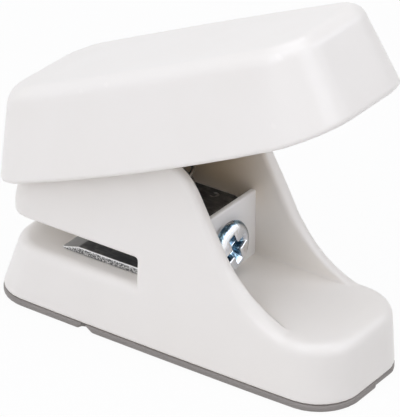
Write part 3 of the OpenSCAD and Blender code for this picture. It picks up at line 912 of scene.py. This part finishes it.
# Return spring with closed ends
WIRE_STEPS = 96
WIRE_SIDES = 20
wire_r = 0.4
coil_r = spring_high[1] - wire_r
coil_turns = 4.0
closed_share = 0.55


def spring_piece(name):
    """Tube wound round the punch."""
    steps = int(coil_turns * WIRE_STEPS)
    low = spring_low[2] + wire_r
    rise = spring_high[2] - wire_r - low
    points = []
    faces = []
    for i in range(steps + 1):
        t = i / steps
        angle = math.tau * coil_turns * t
        out = np.array([math.cos(angle), math.sin(angle), 0])
        z = low + rise * (t - closed_share * math.sin(math.tau * t) / math.tau)
        centre = np.array([punch_x, 0, z]) + coil_r * out
        for s in range(WIRE_SIDES):
            side = math.tau * s / WIRE_SIDES
            points.append(centre + wire_r * (math.cos(side) * out + math.sin(side) * np.array([0, 0, 1])))
    for i in range(steps):
        for s in range(WIRE_SIDES):
            a = i * WIRE_SIDES + s
            b = i * WIRE_SIDES + (s + 1) % WIRE_SIDES
            faces.append((a, a + WIRE_SIDES, b + WIRE_SIDES, b))
    for end in (0, steps):
        hub = len(points)
        first = end * WIRE_SIDES
        points.append(np.mean(points[first:first + WIRE_SIDES], axis=0))
        for s in range(0, WIRE_SIDES, 2):
            ring = [first + s, first + s + 1, first + (s + 2) % WIRE_SIDES, hub]
            faces.append(tuple(ring[::-1] if end else ring))
    return mesh_piece(name, np.array(points), np.array(faces))


# Shader maths: a socket that adds Math nodes as it is worked with
class Wire:
    def __init__(self, tree, socket=None):
        self.tree = tree
        self.socket = socket

    def feed(self, target, value):
        """Link a wire to a socket, or set the socket to a plain value."""
        if isinstance(value, Wire):
            self.tree.links.new(value.socket, target)
        else:
            target.default_value = value

    def node(self, kind, settings=None, sockets=None, out=0):
        """A new node: its settings first, then its sockets; the wire of one output."""
        made = self.tree.nodes.new(kind)
        for name, value in (settings or {}).items():
            setattr(made, name, value)
        for name, value in (sockets or {}).items():
            self.feed(made.inputs[name], value)
        return Wire(self.tree, made.outputs[out])

    def math(self, operation, a, b=0.0, clamp=False):
        return self.node("ShaderNodeMath", {"operation": operation, "use_clamp": clamp}, {0: a, 1: b})

    def __add__(self, other):
        return self.math("ADD", self, other)

    def __radd__(self, other):
        return self.math("ADD", other, self)

    def __sub__(self, other):
        return self.math("SUBTRACT", self, other)

    def __rsub__(self, other):
        return self.math("SUBTRACT", other, self)

    def __mul__(self, other):
        return self.math("MULTIPLY", self, other)

    def __rmul__(self, other):
        return self.math("MULTIPLY", other, self)

    def step(self, low, high):
        """Smooth rise from 0 at low to 1 at high."""
        return self.node(
            "ShaderNodeMapRange", {"interpolation_type": "SMOOTHSTEP"},
            {"Value": self, "From Min": low, "From Max": high},
        )

    def grain(self, scale, detail=2.0, where=None):
        """Noise over the object's own millimetres, about 0.5 on average."""
        place = where or self.node("ShaderNodeTexCoord", out="Object")
        return self.node(
            "ShaderNodeTexNoise", None,
            {"Vector": place, "Scale": scale / MM, "Detail": detail, "Roughness": 0.55},
        )

    def stretched(self, factors):
        """The object's own place, scaled along each axis."""
        place = self.node("ShaderNodeTexCoord", out="Object")
        return self.node("ShaderNodeVectorMath", {"operation": "MULTIPLY"}, {0: place, 1: factors})

    def blend(self, share, a, b):
        """Colour a, changing to colour b as the share rises."""
        return self.node(
            "ShaderNodeMix", {"data_type": "RGBA"}, {"Factor": share, 6: a, 7: b}, out=2
        )

    def part(self, axis):
        """One of the three parts of a vector."""
        return self.node("ShaderNodeSeparateXYZ", None, {0: self}, out=axis)

    def normal(self, axis):
        """How far the surface faces along one axis."""
        return self.node("ShaderNodeTexCoord", out="Normal").part(axis)

    def facing(self, axis):
        """How far the surface faces along one axis, whichever way."""
        return self.math("ABSOLUTE", self.normal(axis))

    def ridge(self):
        """0 in hollows, 0.5 on flats and 1 on sharp ridges."""
        return self.node("ShaderNodeNewGeometry", out="Pointiness")

    def bump(self, height, strength, depth):
        """Normal of small relief, depth in millimetres."""
        return self.node(
            "ShaderNodeBump", None, {"Height": height, "Strength": strength, "Distance": depth * MM}
        )


def tone(red, green, blue):
    return (red, green, blue, 1.0)


def finish_material(name, metallic, ior, build):
    """Material whose colour, roughness and relief come from build."""
    material = bpy.data.materials.new(name)
    material.use_nodes = True
    tree = material.node_tree
    shader = tree.nodes["Principled BSDF"]
    shader.inputs["Metallic"].default_value = metallic
    shader.inputs["IOR"].default_value = ior
    wire = Wire(tree)
    colour, roughness, normal = build(wire)
    wire.feed(shader.inputs["Base Color"], colour)
    wire.feed(shader.inputs["Roughness"], roughness)
    wire.feed(shader.inputs["Normal"], normal)
    return material


def moulded(pale, shade, spread, rough):
    """Spark-finished moulding: faint clouding, fine grain, and a painted highlight that makes sharp ridges
    a little lighter.
    """
    def build(wire):
        cloud = wire.grain(0.05, 3.0)
        fine = wire.grain(3.2, 2.0)
        # Painted highlight: sharp ridges are lightened as if they caught the light.
        ridge_highlight = wire.ridge().step(0.52, 0.6)
        colour = wire.blend((cloud.step(0.3, 0.7) + fine * spread) * 0.8, pale, shade)
        colour = wire.blend(ridge_highlight * 0.35, colour, tone(*[min(1.0, c * 1.06) for c in pale[:3]]))
        uneven = rough + (fine - 0.5) * 0.05 + (cloud - 0.5) * 0.05
        return colour, uneven, wire.bump(fine, 0.015, 0.02)
    return build


white_finish = moulded(tone(0.888, 0.838, 0.772), tone(0.873, 0.822, 0.752), 0.25, 0.305)
# Painted light: the block's copy of the white moulding is lighter and cooler, standing in for the extra
# light that the block catches.
block_painted_light = moulded(tone(0.90, 0.872, 0.838), tone(0.885, 0.855, 0.82), 0.25, 0.305)
inner_finish = moulded(tone(0.70, 0.695, 0.68), tone(0.66, 0.65, 0.635), 0.3, 0.5)
grey_finish = moulded(tone(0.275, 0.247, 0.225), tone(0.245, 0.22, 0.2), 0.3, 0.45)


def moulded_body(wire):
    """White moulding, with painted shade: warmer and darker far in between the side walls, where little
    light comes.
    """
    colour, rough, relief = white_finish(wire)
    place = wire.node("ShaderNodeTexCoord", out="Object")
    side = wire.math("ABSOLUTE", place.part(1))
    inside = 1 - side.step((inner_half + 0.1) * MM, (inner_half + 0.5) * MM)
    above = place.part(2).step((slot_top + 1.2) * MM, (slot_top + 9) * MM)
    ahead = 1 - place.part(0).step(-2 * MM, 14 * MM)
    behind = place.part(0).step((jaw_front + 1.4) * MM, (jaw_front + wall) * MM)
    # Painted shade: between the side walls, above the slot and toward the front, the colour turns warm and
    # dark.
    painted_shade_between_walls = inside * above * ahead * behind
    return wire.blend(painted_shade_between_walls, colour, tone(0.80, 0.64, 0.45)), rough, relief


def blackened(wire):
    """Blackened strip: rolled grain and scuffs on the faces, bright torn metal on the sheared sides, and a
    painted highlight along the top edges of the sides.
    """
    rolled = wire.grain(1.1, 4.0, wire.stretched((0.35, 1.6, 1.6)))
    scuffs = wire.grain(0.55, 5.0).step(0.5, 0.68)
    torn = wire.grain(3.4, 4.0, wire.stretched((0.8, 1.0, 1.0)))
    sheared = wire.facing(1).step(0.55, 0.8)
    tip = 0.0 - wire.normal(0)
    lead = tip.step(0.12, 0.22) * (1 - tip.step(0.6, 0.7)) * (1 - sheared)
    face = wire.blend(rolled.step(0.3, 0.7), tone(0.052, 0.055, 0.062), tone(0.122, 0.122, 0.124))
    face = wire.blend(scuffs * 0.45, face, tone(0.24, 0.23, 0.215))
    face = wire.blend(lead * 0.75, face, tone(0.30, 0.295, 0.285))
    edge = wire.blend(torn.step(0.42, 0.6), tone(0.09, 0.09, 0.092), tone(0.66, 0.655, 0.64))
    colour = wire.blend(sheared, face, edge)
    # Painted highlight: a near-white band where the top faces round over into the sheared sides.
    edge_highlight = wire.facing(1).step(0.2, 0.45) * (1 - wire.facing(1).step(0.82, 0.94))
    colour = wire.blend(edge_highlight * wire.normal(2).step(0.2, 0.4), colour, tone(0.93, 0.93, 0.92))
    relief = rolled * 0.3 * (1 - sheared) + torn * sheared
    return colour, 0.5 + (rolled - 0.5) * 0.2 + sheared * 0.05, wire.bump(relief, 0.6, 0.12)


def zinc_plate(wire):
    """Bright zinc with faint blue and straw tints, and a painted highlight on ridges."""
    cloud = wire.grain(0.35, 3.0)
    fine = wire.grain(4.0, 3.0)
    colour = wire.blend(cloud.step(0.35, 0.65), tone(0.80, 0.84, 0.91), tone(0.91, 0.91, 0.92))
    # Painted highlight: ridges are lightened.
    colour = wire.blend(wire.ridge().step(0.53, 0.62) * 0.5, colour, tone(0.9, 0.9, 0.9))
    return colour, 0.17 + (fine - 0.5) * 0.12 + cloud * 0.06, wire.bump(fine, 0.12, 0.02)


def screw_plate(wire):
    """Zinc on the screw: bright crown, painted shade on the side of the head and on the far side, and blue
    and teal darkened by painted shade down in the recess.
    """
    colour, rough, _ = zinc_plate(wire)
    depth = screw_high[0] * MM - wire.node("ShaderNodeTexCoord", out="Object").part(0)
    streaks = wire.grain(0.8, 3.0, wire.stretched((1.0, 1.0, 0.5)))
    # Painted shade on the side of the head, where it turns away from the crown.
    rim_shade = 1 - wire.facing(0).step(0.25, 0.8)
    sunk = depth.step(0.35 * MM, 0.9 * MM) * (1 - depth.step(1.75 * MM, 1.85 * MM))
    # The recess gets a blue and teal tint, with painted shade that makes it dark.
    teal = wire.blend(streaks.step(0.4, 0.62), tone(0.02, 0.07, 0.115), tone(0.27, 0.45, 0.58))
    colour = wire.blend(rim_shade * 0.75, colour, tone(0.20, 0.215, 0.24))
    # Painted shade: faces turned toward the far side are darkened.
    colour = wire.blend(wire.normal(1).step(0.1, 0.5) * 0.7, colour, tone(0.10, 0.11, 0.13))
    waves = wire.grain(0.9, 2.0, wire.stretched((1.0, 1.6, 0.7)))
    return wire.blend(sunk * 0.9, colour, teal), rough - 0.02, wire.bump(waves, 0.55, 0.25)


def ground(pale, shade):
    """Ground steel with fine lines round the axis."""
    def build(wire):
        lines = wire.grain(5.0, 3.0, wire.stretched((0.3, 0.3, 3.0)))
        cloud = wire.grain(0.3, 3.0)
        colour = wire.blend(cloud.step(0.3, 0.7), shade, pale)
        return colour, 0.28 + (lines - 0.5) * 0.25, wire.bump(lines, 0.25, 0.02)
    return build


def drawn_wire(wire):
    """Drawn spring wire with a thin brown bloom."""
    lines = wire.grain(6.0, 3.0, wire.stretched((1.0, 1.0, 4.0)))
    bloom = wire.grain(0.25, 4.0)
    colour = wire.blend(bloom.step(0.4, 0.7), tone(0.42, 0.42, 0.43), tone(0.36, 0.33, 0.29))
    return colour, 0.3 + (lines - 0.5) * 0.25, wire.bump(lines, 0.2, 0.015)


tool_finish = ground(tone(0.60, 0.595, 0.58), tone(0.50, 0.50, 0.51))
# Painted shade: the punch head gets a darker copy of the ground steel, for the shade it stands in under
# the lever.
head_painted_shade = ground(tone(0.17, 0.155, 0.14), tone(0.12, 0.11, 0.10))
plastic_ior = 1.46
dark_ior = 2.2
metal_ior = 2.5
slot_materials = {
    "white_plastic": finish_material("white satin moulding", 0.0, plastic_ior, white_finish),
    "inner_plastic": finish_material("off-white inner moulding", 0.0, plastic_ior, inner_finish),
    "grey_plastic": finish_material("grey satin moulding", 0.0, plastic_ior, grey_finish),
    "dark_steel": finish_material("blackened steel strip", 0.8, dark_ior, blackened),
    "zinc_steel": finish_material("bright zinc plate", 1.0, metal_ior, zinc_plate),
    "tool_steel": finish_material("ground tool steel", 1.0, metal_ior, tool_finish),
    "spring_steel": finish_material("drawn spring wire", 1.0, metal_ior, drawn_wire),
}
own_materials = {
    "body_shell": finish_material("white satin moulding of the body", 0.0, plastic_ior, moulded_body),
    "cross_block": finish_material("white satin moulding of the block", 0.0, plastic_ior, block_painted_light),
    "frame_screw": finish_material("zinc of the screw", 1.0, metal_ior, screw_plate),
    "punch_head": finish_material("ground steel of the head with painted shade", 1.0, metal_ior, head_painted_shade),
}


# Pieces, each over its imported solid
def dress(made, name, body, slot):
    made.data.materials.append(own_materials.get(name, slot_materials[slot]))
    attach(made, body)
    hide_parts("body_shell" if name == "cross_block" else name)


def lever_place():
    """Turn and shift from the lever's own frame to the punch's."""
    cos, sin = math.cos(lever_tilt), math.sin(lever_tilt)
    return np.array([[cos, 0, -sin], [0, 1, 0], [sin, 0, cos]]), pivot


rim_half = lever_half + side_flare
lever_low = (top_front - front_flare, -rim_half, -rim_drop - rim_arch)
lever_high = (top_rear + rear_flare, rim_half, lever_top)
heel_floor = in_lever(jaw_front, front_wall_top)[1]
core_floor = min(-eye_r, shoe_h - shoe_r, heel_floor) - 1
carrier_low = (core_front - core_web - 6, -cheek_outer, core_floor)
carrier_high = (core_rear, cheek_outer, lever_roof)
bar_low = (shoe_x - shoe_r, -shoe_high[1], shoe_h - shoe_r)
bar_high = (shoe_x + shoe_r, shoe_high[1], shoe_h + shoe_r)

# Each piece: its body, material slot, field, lowest and highest corner and fineness
pieces = {
    "body_shell": ("body", "white_plastic", body_field, body_low, body_high, PLASTIC_CELL),
    "cross_block": ("body", "white_plastic", block_field, block_low, block_high, METAL_CELL),
    "lever_cap": ("lever", "white_plastic", lever_field, lever_low, lever_high, PLASTIC_CELL),
    "chip_cover": ("cover", "grey_plastic", flap_field, flap_low, flap_high, PLASTIC_CELL),
    "cover_anchor": ("body", "grey_plastic", anchor_field, anchor_low, anchor_high, PLASTIC_CELL),
    "lever_core": ("lever", "inner_plastic", core_field, carrier_low, carrier_high, PLASTIC_CELL),
    "punch_guide": ("body", "inner_plastic", guide_field, guide_low, guide_high, METAL_CELL),
    "die_bracket": ("body", "dark_steel", die_field, die_low, die_high, METAL_CELL),
    "guide_bracket": ("body", "dark_steel", arm_field, arm_low, arm_high, METAL_CELL),
    "frame_screw": ("body", "zinc_steel", screw_field, screw_low, screw_high, FINE_CELL),
    "nut_plate": ("body", "zinc_steel", nut_field, nut_low, nut_high, FINE_CELL),
    "spring_seat": ("body", "zinc_steel", seat_field, seat_low, seat_high, FINE_CELL),
    "frame_rivets": ("body", "zinc_steel", web_rivets_field, web_rivet_low, web_rivet_high, FINE_CELL),
    "guide_rivets": ("body", "zinc_steel", arm_rivets_field, arm_rivet_low, arm_rivet_high, FINE_CELL),
    "punch": ("punch", "tool_steel", punch_field, punch_low, punch_high, FINE_CELL),
    "punch_head": ("punch", "tool_steel", head_field, head_low, head_high, FINE_CELL),
    "head_pin": ("punch", "tool_steel", cross_pin_field, cross_low, cross_high, FINE_CELL),
    "pivot_pin": ("body", "tool_steel", pin_field, pin_low, pin_high, FINE_CELL),
    "pin_clips": ("body", "spring_steel", clips_field, clip_low, clip_high, FINE_CELL),
    "press_shoe": ("lever", "tool_steel", shoe_field, bar_low, bar_high, FINE_CELL),
}
for name, (body, slot, field, low, high, cell) in pieces.items():
    place = lever_place() if body == "lever" else None
    dress(skin(name + "_visual", field, low, high, cell, place), name, body, slot)

spring = spring_piece("return_spring_visual")
spring_keep = 1 - joint_travel("punch_slide") / (spring_high[2] - spring_low[2])
dress(spring, "return_spring", "body", "spring_steel")
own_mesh(spring)


# Floor, studio light and camera
floor_white = 0.95
floor_reach = 3000.0
floor_level = -0.02
lamp_tint = (0.88, 0.914, 1.0)
lamp_reach = 0.9
lamp_size = 0.5
lamp_aim = Vector((0, 0, 0.03))
horizon_turn = math.radians(300)
horizon_light = 2.26
horizon_fade = (0.05, 0.6)

# Turn from the near side and rise, in degrees, and power of each lamp
lamps = {
    "near_lamp": (0, 35, 2.11),
    "camera_lamp": (45, 10, 0.45),
    "tail_lamp": (90, 35, 2.30),
    "far_tail_lamp": (135, 35, 1.78),
    "far_mouth_lamp": (225, 60, 1.74),
    "near_mouth_lamp": (338, 60, 1.82),
    "top_lamp": (75, 75, 1.88),
}


def background_rays(wire):
    """1 for rays from the camera or from mirror-like and clear surfaces, which see white behind."""
    share = wire.node("ShaderNodeLightPath", out="Is Camera Ray")
    for kind in ("Is Glossy Ray", "Is Transmission Ray"):
        share = wire.math("ADD", share, wire.node("ShaderNodeLightPath", out=kind), clamp=True)
    return share


def floor_piece():
    corners = [(-1, -1), (1, -1), (1, 1), (-1, 1)]
    points = np.array([(u * floor_reach, v * floor_reach, floor_level) for u, v in corners])
    made = mesh_piece("studio_floor", points, np.array([[0, 1, 2, 3]]))
    material = bpy.data.materials.new("pale studio floor")
    material.use_nodes = True
    tree = material.node_tree
    tree.nodes.clear()
    wire = Wire(tree)
    paper = wire.node("ShaderNodeBsdfDiffuse", None, {"Color": tone(0.77, 0.757, 0.745)})
    glow = wire.node("ShaderNodeEmission", None, {"Color": tone(1, 1, 1), "Strength": 1.0})
    shown = background_rays(wire) * floor_white
    surface = wire.node("ShaderNodeMixShader", None, {0: shown, 1: paper, 2: glow})
    tree.links.new(surface.socket, tree.nodes.new("ShaderNodeOutputMaterial").inputs["Surface"])
    made.data.materials.append(material)
    return made


def soft_lamp(name, turn, rise, power):
    """Square lamp that faces the middle of the punch."""
    turn, rise = math.radians(turn), math.radians(rise)
    out = Vector((math.cos(rise) * math.sin(turn), -math.cos(rise) * math.cos(turn), math.sin(rise)))
    light = bpy.data.lights.new(name, "AREA")
    light.size = lamp_size
    light.energy = power
    light.color = lamp_tint
    made = bpy.data.objects.new(name, light)
    made.location = lamp_aim + out * lamp_reach
    made.rotation_euler = out.to_track_quat("Z", "Y").to_euler()
    bpy.context.collection.objects.link(made)


def studio_world():
    world = bpy.data.worlds.new("studio")
    bpy.context.scene.world = world
    world.use_nodes = True
    tree = world.node_tree
    tree.nodes.clear()
    wire = Wire(tree)
    way = wire.node("ShaderNodeTexCoord", out="Generated")
    toward = way.part(0) * math.sin(horizon_turn) - way.part(1) * math.cos(horizon_turn)
    near = toward * 0.5 + 0.5
    low = 1 - way.part(2).step(*horizon_fade)
    bright = tone(*[c * horizon_light for c in lamp_tint])
    sky = wire.blend(near * near * low, tone(0, 0, 0), bright)
    shown = wire.blend(background_rays(wire), sky, tone(1, 1, 1))
    light = wire.node("ShaderNodeBackground", None, {"Color": shown, "Strength": 1.0})
    tree.links.new(light.socket, tree.nodes.new("ShaderNodeOutputWorld").inputs["Surface"])


view_turn = math.radians(35.6)
view_rise = math.radians(28.44)
view_distance = 550.55
view_target = np.array([1.23, 0.0, 25.62])
focal_pixels = 2981.05
photo_width = 400


def photo_camera():
    """Camera at the place the photograph was taken from."""
    data = bpy.data.cameras.new("photo_camera")
    data.sensor_fit = "HORIZONTAL"
    data.sensor_width = 36.0
    data.lens = 36.0 * focal_pixels / photo_width
    data.clip_start = 0.02
    data.clip_end = 20.0
    made = bpy.data.objects.new("photo_camera", data)
    back = Vector((
        math.cos(view_rise) * math.sin(view_turn),
        -math.cos(view_rise) * math.cos(view_turn),
        math.sin(view_rise),
    ))
    made.location = Vector(view_target * MM) + back * view_distance * MM
    made.rotation_euler = back.to_track_quat("Z", "Y").to_euler()
    bpy.context.collection.objects.link(made)
    bpy.context.scene.camera = made


floor_piece()
for name, (turn, rise, power) in lamps.items():
    soft_lamp(name, turn, rise, power)
studio_world()
photo_camera()
bpy.context.scene.view_settings.view_transform = "Standard"
